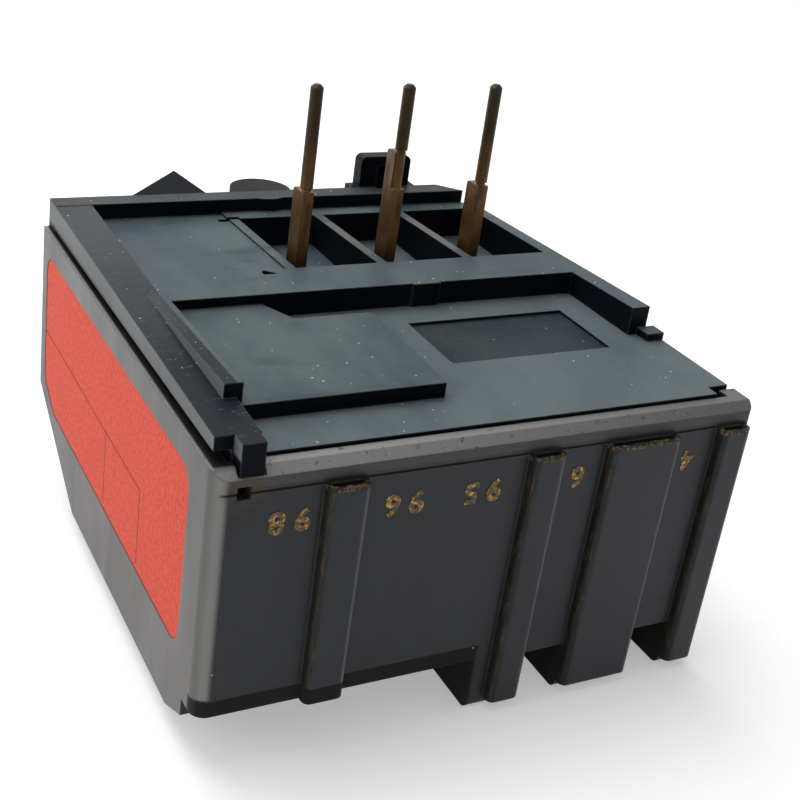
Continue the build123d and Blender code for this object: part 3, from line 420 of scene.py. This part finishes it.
number_meshes = []
upright = Matrix.Rotation(math.radians(90), 4, "X")
on_its_head = Matrix.Rotation(math.radians(180), 4, "Y") @ upright
for text, across in number_places.items():
    mesh = raised_text(text, number_height, number_relief, number_boldness, number_spacing)
    spot = Vector((housing_low.x + across * millimetre, near_face, number_level))
    mesh.transform(Matrix.Translation(spot) @ on_its_head)
    number_meshes.append(mesh)
joined_piece("terminal_numbers", number_meshes, number_paint, "relay_body")


# Rear cover
# The blue-black thermoset cover of the plug-on side. Its floor holds fine white dust and
# faint mould marks, and the tops of the partitions between the wells are rubbed pale. Its
# up-facing faces carry a dust film, partly painted light, against near-black sides; the nose
# beyond the far edge is left black as painted shade, and the flange's outer face carries a
# painted highlight.

far_edge = 60.0
far_rim = 3.2
wells_start = 30.0
wells_end = far_edge - 8.5
sunk_level = rim_level + 0.2
floor_top = sunk_level + 0.4
flange_edge = 5.0
left_pin_low, left_pin_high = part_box("contact_pin_left")
right_pin_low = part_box("contact_pin_right")[0]
pins_near = (left_pin_low.y - near_face) / millimetre
after_left_pin = (left_pin_high.x - housing_low.x) / millimetre
before_right_pin = (right_pin_low.x - housing_low.x) / millimetre
cover_black = (0.0012, 0.0022, 0.0040)
cover_cloud_black = (0.0030, 0.0045, 0.0070)
film_slate = (0.052, 0.074, 0.090)
film_green = (0.104, 0.130, 0.132)
film_thin = (0.034, 0.050, 0.066)
film_pale = (0.170, 0.200, 0.206)
flange_near_film = (0.013, 0.018, 0.023)
flange_far_film = (0.040, 0.048, 0.054)
flange_edge_painted_highlight = (0.125, 0.135, 0.140)
cover_rubbed = (0.15, 0.16, 0.165)
partition_rubbed = (0.125, 0.120, 0.115)
fine_dust = (0.60, 0.62, 0.62)

cover_skin, tree, shader = new_material("cover thermoset", roughness=0.4)
shader.inputs["Specular IOR Level"].default_value = 0.05
across = measured(tree, "X")
back = measured(tree, "Y")
level = measured(tree, "Z")
skin = use_group(tree, moulding_skin, {"grain": 2200.0, "flow": 55.0})
body = tint(tree, skin.outputs["cloud"], cover_black, cover_cloud_black)
sunk = product(tree, remap(tree, level, sunk_level, sunk_level - 0.05),
               remap(tree, back, wells_start, wells_start - 1.0, 0.0, 0.6))
# Up-facing faces get a lighter dust film and the sides stay near black; the contrast between them is
# partly painted light and shade.
upward = product(tree, remap(tree, facing(tree, "Z"), 0.55, 0.9),
                 # Beyond the far edge the film fades out, so the nose stays black as painted shade.
                 remap(tree, back, far_edge - 0.2, far_edge, 1.0, 0.1),
                 number(tree, "SUBTRACT", 1.0, sunk))

smear = remap(tree, noise(tree, place(tree, (1.0, 0.4, 1.0)), 90.0, 4.0, 0.6), 0.40, 0.66)
film_and_top_light = tint(tree, smear, film_slate, film_green)
wiped = remap(tree, noise(tree, place(tree, (0.5, 1.0, 1.0)), 140.0, 5.0, 0.6), 0.54, 0.70, 0.0, 0.7)
film_and_top_light = paint(tree, film_and_top_light, film_thin, wiped)
film_and_top_light = paint(tree, film_and_top_light, film_pale, between(tree, level, sunk_level, floor_top, 0.1), 0.38)
on_far_rim = remap(tree, back, far_edge - far_rim, far_edge - far_rim + 0.4)
film_and_top_light = paint(tree, film_and_top_light, flange_far_film, on_far_rim, 0.85)
on_flange = product(tree, remap(tree, across, flange_edge + 0.1, flange_edge - 0.1),
                    remap(tree, level, floor_top, floor_top + 0.4))
flange_film = tint(tree, remap(tree, back, 16.0, 46.0), flange_near_film, flange_far_film)
film_and_top_light = paint(tree, film_and_top_light, flange_film, on_flange)
body = paint(tree, body, film_and_top_light, upward)

# The flange's outer left face is painted pale as a painted highlight.
body = paint(tree, body, flange_edge_painted_highlight, on_flange, remap(tree, facing(tree, "X"), -0.7, -0.95))
on_partitions = product(tree, between(tree, across, after_left_pin, before_right_pin, 0.1),
                        between(tree, back, pins_near, wells_end, 0.3),
                        remap(tree, level, rim_level - 0.5, rim_level))
body = paint(tree, body, partition_rubbed, on_partitions, upward, 0.8)
wear = use_group(tree, edge_wear, {"radius": 0.25 * millimetre, "patchiness": 0.6, "patch scale": 600.0})
body = paint(tree, body, cover_rubbed, wear.outputs["mask"], 0.5)
scratch_noise = noise(tree, place(tree, (0.25, 1.0, 1.0)), 1500.0, 1.0)
scratches = between(tree, scratch_noise, 0.655, 0.675, 0.004)
body = paint(tree, body, cover_rubbed, scratches, upward, 0.35)
specks = use_group(tree, dust_specks, {"scale": 1250.0, "size": 0.11, "share": 0.22})
body = paint(tree, body, fine_dust, specks.outputs["mask"], upward)
tree.links.new(body, shader.inputs["Base Color"])
tree.links.new(remap(tree, smear, 0.0, 1.0, 0.36, 0.50), shader.inputs["Roughness"])
bump(tree, shader, skin.outputs["height"], 0.015 * millimetre, 0.2 * millimetre)
dress("rear_cover", cover_skin)


# Rating label
# A coral red printed card in a shallow recess of the left wall. It keeps its thin dark
# border and the ruled boxes of its table, and the boxes are left empty.

label_red = (0.56, 0.060, 0.034)
label_pale = (0.68, 0.105, 0.066)
label_ink = (0.060, 0.028, 0.026)
rule_width = 0.22
rule_level = 20.0
rule_foot = 11.4
rule_blur = 0.04
rule_backs = (18.9, 31.2)

label_card, tree, shader = new_material("printed label", roughness=0.6)
shader.inputs["Specular IOR Level"].default_value = 0.08
back = measured(tree, "Y")
level = measured(tree, "Z")
mottle = remap(tree, noise(tree, place(tree), 2100.0, 5.0, 0.65), 0.36, 0.64)
card = tint(tree, mottle, label_red, label_pale)
printed = product(tree, between(tree, level, rule_level, rule_level + rule_width, rule_blur),
                  remap(tree, back, rule_backs[0] - rule_blur, rule_backs[0] + rule_blur))
for rule_back in rule_backs:
    upright_rule = product(tree, between(tree, back, rule_back, rule_back + rule_width, rule_blur),
                           between(tree, level, rule_foot, rule_level, rule_blur))
    printed = number(tree, "MAXIMUM", printed, upright_rule)
worn_ink = remap(tree, noise(tree, place(tree), 700.0, 4.0), 0.30, 0.45, 0.35, 0.85)
card = paint(tree, card, label_ink, printed, worn_ink)
border = use_group(tree, edge_wear, {"radius": 0.3 * millimetre, "patchiness": 0.0, "patch scale": 500.0})
card = paint(tree, card, label_ink, border.outputs["mask"], 0.8)
tree.links.new(card, shader.inputs["Base Color"])
bump(tree, shader, mottle, 0.012 * millimetre)
dress("rating_label", label_card)


# Contact pins
# Three copper-plated steel pins on flat blades. The plating has browned, and the round
# tips that sit in the contactor's clamps are worn to a dull grey-brown.

copper_light = (0.21, 0.108, 0.036)
copper_dark = (0.070, 0.041, 0.018)
tip_brown = (0.028, 0.019, 0.010)
tip_start = 42.0
tip_full = 50.0

pin_copper, tree, shader = new_material("aged copper", roughness=0.38, metallic=0.85)
level = measured(tree, "Z")
tarnish = remap(tree, noise(tree, place(tree, (1.0, 1.0, 0.3)), 900.0, 4.0), 0.38, 0.66)
copper = tint(tree, tarnish, copper_light, copper_dark)
copper = paint(tree, copper, tip_brown, remap(tree, level, tip_start, tip_full))
tree.links.new(copper, shader.inputs["Base Color"])
tree.links.new(remap(tree, tarnish, 0.0, 1.0, 0.3, 0.5), shader.inputs["Roughness"])
bump(tree, shader, tarnish, 0.01 * millimetre, 0.1 * millimetre)
for side in ("left", "middle", "right"):
    dress("contact_pin_" + side, pin_copper)


# Inner mouldings
# The black terminal block, the carrier of the strips and the contact holder.


def moulding(name, light, dark, roughness, grain, flow, relief, rounding):
    """A moulded plastic with a faint cloud of its own colour."""
    material, tree, shader = new_material(name, roughness=roughness)
    skin = use_group(tree, moulding_skin, {"grain": grain, "flow": flow})
    tree.links.new(tint(tree, skin.outputs["cloud"], light, dark), shader.inputs["Base Color"])
    bump(tree, shader, skin.outputs["height"], relief * millimetre, rounding * millimetre)
    return material


black_moulding = moulding("black moulding", (0.012, 0.012, 0.013), (0.020, 0.019, 0.019),
                          0.5, 2400.0, 200.0, 0.02, 0.15)
for name in ("terminal_block", "bimetal_carrier", "contact_holder"):
    dress(name, black_moulding)


# Cream mouldings
# The trip slide, its guides, the lever and the dial's cam are moulded in natural nylon.

nylon = moulding("natural nylon", (0.52, 0.46, 0.33), (0.60, 0.55, 0.42), 0.45, 1800.0, 220.0, 0.01, 0.1)
for name in ("trip_slide", "slide_guides", "trip_lever", "dial_cam"):
    dress(name, nylon)


# Bare metal inside
# Strips, windings, straps, brackets, pins and screws, each in the metal that it is made of.


def metal(name, light, dark, roughness, streaks=(1.0, 1.0, 1.0)):
    """A bare metal with a faint uneven tarnish."""
    material, tree, shader = new_material(name, roughness=roughness, metallic=0.9)
    cloud = remap(tree, noise(tree, place(tree, streaks), 1200.0, 4.0), 0.36, 0.66)
    tree.links.new(tint(tree, cloud, light, dark), shader.inputs["Base Color"])
    uneven = remap(tree, cloud, 0.0, 1.0, roughness - 0.07, roughness + 0.1)
    tree.links.new(uneven, shader.inputs["Roughness"])
    bump(tree, shader, cloud, 0.005 * millimetre, 0.08 * millimetre)
    return material


strip_metal = metal("rolled bimetal", (0.52, 0.50, 0.46), (0.38, 0.36, 0.33), 0.34, (1.0, 1.0, 0.2))
heater_metal = metal("oxidised heater ribbon", (0.30, 0.26, 0.22), (0.14, 0.12, 0.10), 0.45)
strap_metal = metal("stamped brass", (0.56, 0.43, 0.21), (0.38, 0.28, 0.13), 0.32)
silver_metal = metal("contact silver", (0.78, 0.77, 0.74), (0.60, 0.58, 0.54), 0.25)
zinc_metal = metal("zinc plated steel", (0.52, 0.52, 0.50), (0.36, 0.35, 0.32), 0.33)
spring_metal = metal("spring wire", (0.42, 0.43, 0.45), (0.30, 0.30, 0.31), 0.28)

metal_pieces = {
    strip_metal: ("bimetal_left", "bimetal_middle", "bimetal_right", "compensating_strip"),
    heater_metal: ("heater_winding_left", "heater_winding_middle", "heater_winding_right"),
    strap_metal: ("main_conductor_left", "main_conductor_middle", "main_conductor_right",
                  "control_terminal_98", "control_terminal_96", "control_terminal_95",
                  "opening_contact", "closing_contact", "contact_arm"),
    silver_metal: ("contact_tips",),
    zinc_metal: ("main_terminal_screws", "main_clamp_washers", "control_terminal_screws",
                 "control_clamp_washers", "lever_bracket", "lever_pivot_pin",
                 "contact_pivot_pin", "mechanism_plate", "calibration_screw"),
    spring_metal: ("dial_wave_washer",),
}
for material, names in metal_pieces.items():
    for name in names:
        dress(name, material)


# Return springs
# Coils of round drawn wire between each button's flange and the mechanism plate.

spring_wire = 0.45 * millimetre
spring_turns = 3.0
steps_each_turn = 28
wire_sides = 10

coil, inside, outside = new_tree(
    "GeometryNodeTree", "return coil",
    {"turns": spring_turns, "coil radius": 0.0, "height": 0.0, "wire radius": spring_wire / 2}, ["coil"])
path = coil.nodes.new("GeometryNodeCurveSpiral")
path.inputs["Resolution"].default_value = steps_each_turn
coil.links.new(inside.outputs["turns"], path.inputs["Rotations"])
coil.links.new(inside.outputs["coil radius"], path.inputs["Start Radius"])
coil.links.new(inside.outputs["coil radius"], path.inputs["End Radius"])
coil.links.new(inside.outputs["height"], path.inputs["Height"])
wire_outline = coil.nodes.new("GeometryNodeCurvePrimitiveCircle")
wire_outline.inputs["Resolution"].default_value = wire_sides
coil.links.new(inside.outputs["wire radius"], wire_outline.inputs["Radius"])
wire = coil.nodes.new("GeometryNodeCurveToMesh")
wire.inputs["Fill Caps"].default_value = True
coil.links.new(path.outputs[0], wire.inputs["Curve"])
coil.links.new(wire_outline.outputs[0], wire.inputs["Profile Curve"])


def end_in_material(tree, geometry, material, outside):
    """Ends a geometry tree with plain faces in one material."""
    real = tree.nodes.new("GeometryNodeRealizeInstances")
    tree.links.new(geometry, real.inputs[0])
    finish = tree.nodes.new("GeometryNodeSetMaterial")
    finish.inputs["Material"].default_value = material
    tree.links.new(real.outputs[0], finish.inputs["Geometry"])
    tree.links.new(finish.outputs[0], outside.inputs[0])


def grown_mesh(name, tree, values):
    """The plain mesh that a geometry tree grows from named values."""
    seed = bpy.data.objects.new(name, bpy.data.meshes.new(name))
    bpy.context.scene.collection.objects.link(seed)
    growth = seed.modifiers.new(name, "NODES")
    growth.node_group = tree
    for item in tree.interface.items_tree:
        if item.in_out == "INPUT":
            growth[item.identifier] = values[item.name]
    bpy.context.view_layer.update()
    mesh = bpy.data.meshes.new_from_object(seed.evaluated_get(bpy.context.evaluated_depsgraph_get()))
    seed.modifiers.clear()
    bpy.data.objects.remove(seed)
    return mesh


end_in_material(coil, wire.outputs[0], spring_metal, outside)
for button in ("reset", "test"):
    low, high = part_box(button + "_spring")
    middle = (low + high) / 2
    mesh = grown_mesh(button + " coil", coil, {
        "turns": spring_turns,
        "coil radius": (high.x - low.x - spring_wire) / 2,
        "height": high.z - low.z - spring_wire,
        "wire radius": spring_wire / 2,
    })
    mesh.transform(Matrix.Translation((middle.x, middle.y, low.z + spring_wire / 2)))
    shell = bmesh.new()
    shell.from_mesh(mesh)
    bmesh.ops.recalc_face_normals(shell, faces=shell.faces)
    shell.to_mesh(mesh)
    shell.free()
    spring = bpy.data.objects.new(button + "_return_coil", mesh)
    bpy.context.scene.collection.objects.link(spring)
    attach(spring, "relay_body")
    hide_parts(button + "_spring")
    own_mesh(spring)


# Dial and buttons
# The controls on the hidden user side, moulded in coloured plastic.

control_colours = {
    "setting_dial": ("dial grey", (0.50, 0.49, 0.45), (0.42, 0.41, 0.38)),
    "reset_button": ("reset blue", (0.035, 0.10, 0.33), (0.028, 0.08, 0.27)),
    "test_button": ("test red", (0.46, 0.035, 0.022), (0.36, 0.03, 0.02)),
}
for node_name, (name, light, dark) in control_colours.items():
    dress(node_name, moulding(name, light, dark, 0.38, 2000.0, 260.0, 0.01, 0.15))


# Dial scale
# Raised strokes round the free side of the dial, and plain numbers beyond them, all touched
# with white paint. The relay hides them, because it lies on its user side.

dial_low, dial_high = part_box("setting_dial")
dial_recess = 0.4 * millimetre
scale_spot = (dial_low + dial_high) / 2
scale_spot.z = dial_low.z - dial_recess
scale_start = math.radians(-60.0)
scale_sweep = math.radians(150.0)
scale_relief = 0.1 * millimetre
stroke_count = 9
stroke_radius = 7.6 * millimetre
stroke_length = 1.2 * millimetre
stroke_width = 0.3 * millimetre
scale_numbers = ("20", "23", "26", "29", "32")
scale_number_height = 1.5 * millimetre
scale_number_radius = 9.7 * millimetre
scale_number_boldness = 0.03 * millimetre
white_paint = (0.62, 0.61, 0.57)
chipped_paint = (0.20, 0.19, 0.18)

scale_paint, tree, shader = new_material("white scale paint", roughness=0.5)
chips = remap(tree, noise(tree, place(tree), 2600.0, 4.0), 0.56, 0.66)
tree.links.new(tint(tree, chips, white_paint, chipped_paint), shader.inputs["Base Color"])
bump(tree, shader, chips, 0.02 * millimetre)

stroke_values = {
    "count": stroke_count, "radius": stroke_radius, "first angle": scale_start,
    "step": scale_sweep / (stroke_count - 1), "length": stroke_length, "width": stroke_width,
    "relief": 2 * scale_relief,
}
ring, inside, outside = new_tree("GeometryNodeTree", "ring of strokes", stroke_values, ["strokes"])
index = ring.nodes.new("GeometryNodeInputIndex")
angle = number(ring, "MULTIPLY_ADD", index.outputs[0], inside.outputs["step"],
               inside.outputs["first angle"])
spot = ring.nodes.new("ShaderNodeCombineXYZ")
for axis, operation in enumerate(("COSINE", "SINE")):
    length = product(ring, number(ring, operation, angle), inside.outputs["radius"])
    ring.links.new(length, spot.inputs[axis])
points = ring.nodes.new("GeometryNodePoints")
ring.links.new(inside.outputs["count"], points.inputs["Count"])
ring.links.new(spot.outputs[0], points.inputs["Position"])
stroke_size = ring.nodes.new("ShaderNodeCombineXYZ")
for axis, label in enumerate(("length", "width", "relief")):
    ring.links.new(inside.outputs[label], stroke_size.inputs[axis])
stroke = ring.nodes.new("GeometryNodeMeshCube")
ring.links.new(stroke_size.outputs[0], stroke.inputs["Size"])
turn = ring.nodes.new("ShaderNodeCombineXYZ")
ring.links.new(angle, turn.inputs[2])
spread = ring.nodes.new("GeometryNodeInstanceOnPoints")
ring.links.new(points.outputs[0], spread.inputs["Points"])
ring.links.new(stroke.outputs["Mesh"], spread.inputs["Instance"])
ring.links.new(turn.outputs[0], spread.inputs["Rotation"])
end_in_material(ring, spread.outputs[0], scale_paint, outside)

stroke_mesh = grown_mesh("strokes", ring, stroke_values)
stroke_mesh.transform(Matrix.Translation(scale_spot))
scale_meshes = [stroke_mesh]
facing_down = Matrix.Rotation(math.radians(180), 4, "Y")
for order, text in enumerate(scale_numbers):
    mesh = raised_text(text, scale_number_height, scale_relief, scale_number_boldness, 1.0)
    angle = scale_start + order * scale_sweep / (len(scale_numbers) - 1)
    outward = Vector((math.cos(angle), math.sin(angle), 0.0))
    mesh.transform(Matrix.Translation(scale_spot + outward * scale_number_radius) @ facing_down)
    scale_meshes.append(mesh)
joined_piece("dial_scale", scale_meshes, scale_paint, "relay_body")


# Floor
# A plain pale studio floor under the barrier tips. From below it is clear, so that the
# user side can be seen.

floor_reach = 1.5
floor_grey = (0.86, 0.86, 0.86, 1.0)
floor_glow = 0.35

floor_mesh = bpy.data.meshes.new("floor")
corners = [(-floor_reach, -floor_reach, 0), (floor_reach, -floor_reach, 0),
           (floor_reach, floor_reach, 0), (-floor_reach, floor_reach, 0)]
floor_mesh.from_pydata(corners, [], [(0, 1, 2, 3)])
floor = bpy.data.objects.new("floor", floor_mesh)
bpy.context.scene.collection.objects.link(floor)


def seen_directly(tree):
    """A mask that is 1 for the camera's rays and those through glass or off a shine."""
    path = tree.nodes.new("ShaderNodeLightPath")
    seen = number(tree, "MAXIMUM", path.outputs["Is Camera Ray"], path.outputs["Is Glossy Ray"])
    return number(tree, "MAXIMUM", seen, path.outputs["Is Transmission Ray"])


floor_paint, tree, shader = new_material("pale floor", roughness=0.9)
shader.inputs["Base Color"].default_value = floor_grey
shader.inputs["Emission Color"].default_value = (1.0, 1.0, 1.0, 1.0)
tree.links.new(product(tree, seen_directly(tree), floor_glow), shader.inputs["Emission Strength"])
geometry = tree.nodes.new("ShaderNodeNewGeometry")
clear = tree.nodes.new("ShaderNodeBsdfTransparent")
one_sided = tree.nodes.new("ShaderNodeMixShader")
tree.links.new(geometry.outputs["Backfacing"], one_sided.inputs[0])
tree.links.new(shader.outputs[0], one_sided.inputs[1])
tree.links.new(clear.outputs[0], one_sided.inputs[2])
tree.links.new(one_sided.outputs[0], tree.nodes["Material Output"].inputs["Surface"])
floor_mesh.materials.append(floor_paint)


# Light and camera
# Soft lamps from the upper left and behind, and a camera at the photograph's angle.

world_glow = 0.35
world = bpy.data.worlds.new("studio")
bpy.context.scene.world = world
world.use_nodes = True
tree = world.node_tree
background = tree.nodes["Background"]
background.inputs["Color"].default_value = (1.0, 1.0, 1.0, 1.0)
brightness = remap(tree, seen_directly(tree), 0.0, 1.0, world_glow, 1.0)
tree.links.new(brightness, background.inputs["Strength"])


def soft_lamp(name, spot, target, size, power):
    """A square soft lamp that looks at a point."""
    lamp = bpy.data.lights.new(name, "AREA")
    lamp.size = size
    lamp.energy = power
    holder = bpy.data.objects.new(name, lamp)
    bpy.context.scene.collection.objects.link(holder)
    holder.location = spot
    holder.rotation_euler = (Vector(target) - Vector(spot)).to_track_quat("-Z", "Y").to_euler()


soft_lamp("overhead", (-0.10, 0.20, 0.60), (0, 0, 0.03), 0.5, 2.6)
soft_lamp("back window", (-0.05, 0.75, 0.45), (0, 0, 0.03), 0.7, 1.3)
soft_lamp("left window", (-0.60, 0.15, 0.22), (0, 0, 0.02), 0.5, 1.6)

photo_width = 800.0
focal_pixels = 1330.6
optical_centre = (357.8, 331.5)
camera_spot = Vector((-67.55, -122.35, 91.58)) * millimetre
heading = math.radians(28.67)
dip = math.radians(24.07)
roll = math.radians(-7.50)
clip_start = 0.005

forward = Vector((math.sin(heading) * math.cos(dip), math.cos(heading) * math.cos(dip), -math.sin(dip)))
level_right = forward.cross(Vector((0, 0, 1))).normalized()
level_down = forward.cross(level_right)
right = level_right * math.cos(roll) + level_down * math.sin(roll)
up = right.cross(forward)
lens = bpy.data.cameras.new("camera")
lens.sensor_width = 36.0
lens.lens = focal_pixels * lens.sensor_width / photo_width
lens.shift_x = (photo_width / 2 - optical_centre[0]) / photo_width
lens.shift_y = (optical_centre[1] - photo_width / 2) / photo_width
lens.clip_start = clip_start
camera = bpy.data.objects.new("camera", lens)
bpy.context.scene.collection.objects.link(camera)
axes = Matrix((right, up, -forward)).transposed().to_4x4()
camera.matrix_world = Matrix.Translation(camera_spot) @ axes
bpy.context.scene.camera = camera
bpy.context.scene.view_settings.view_transform = "Standard"
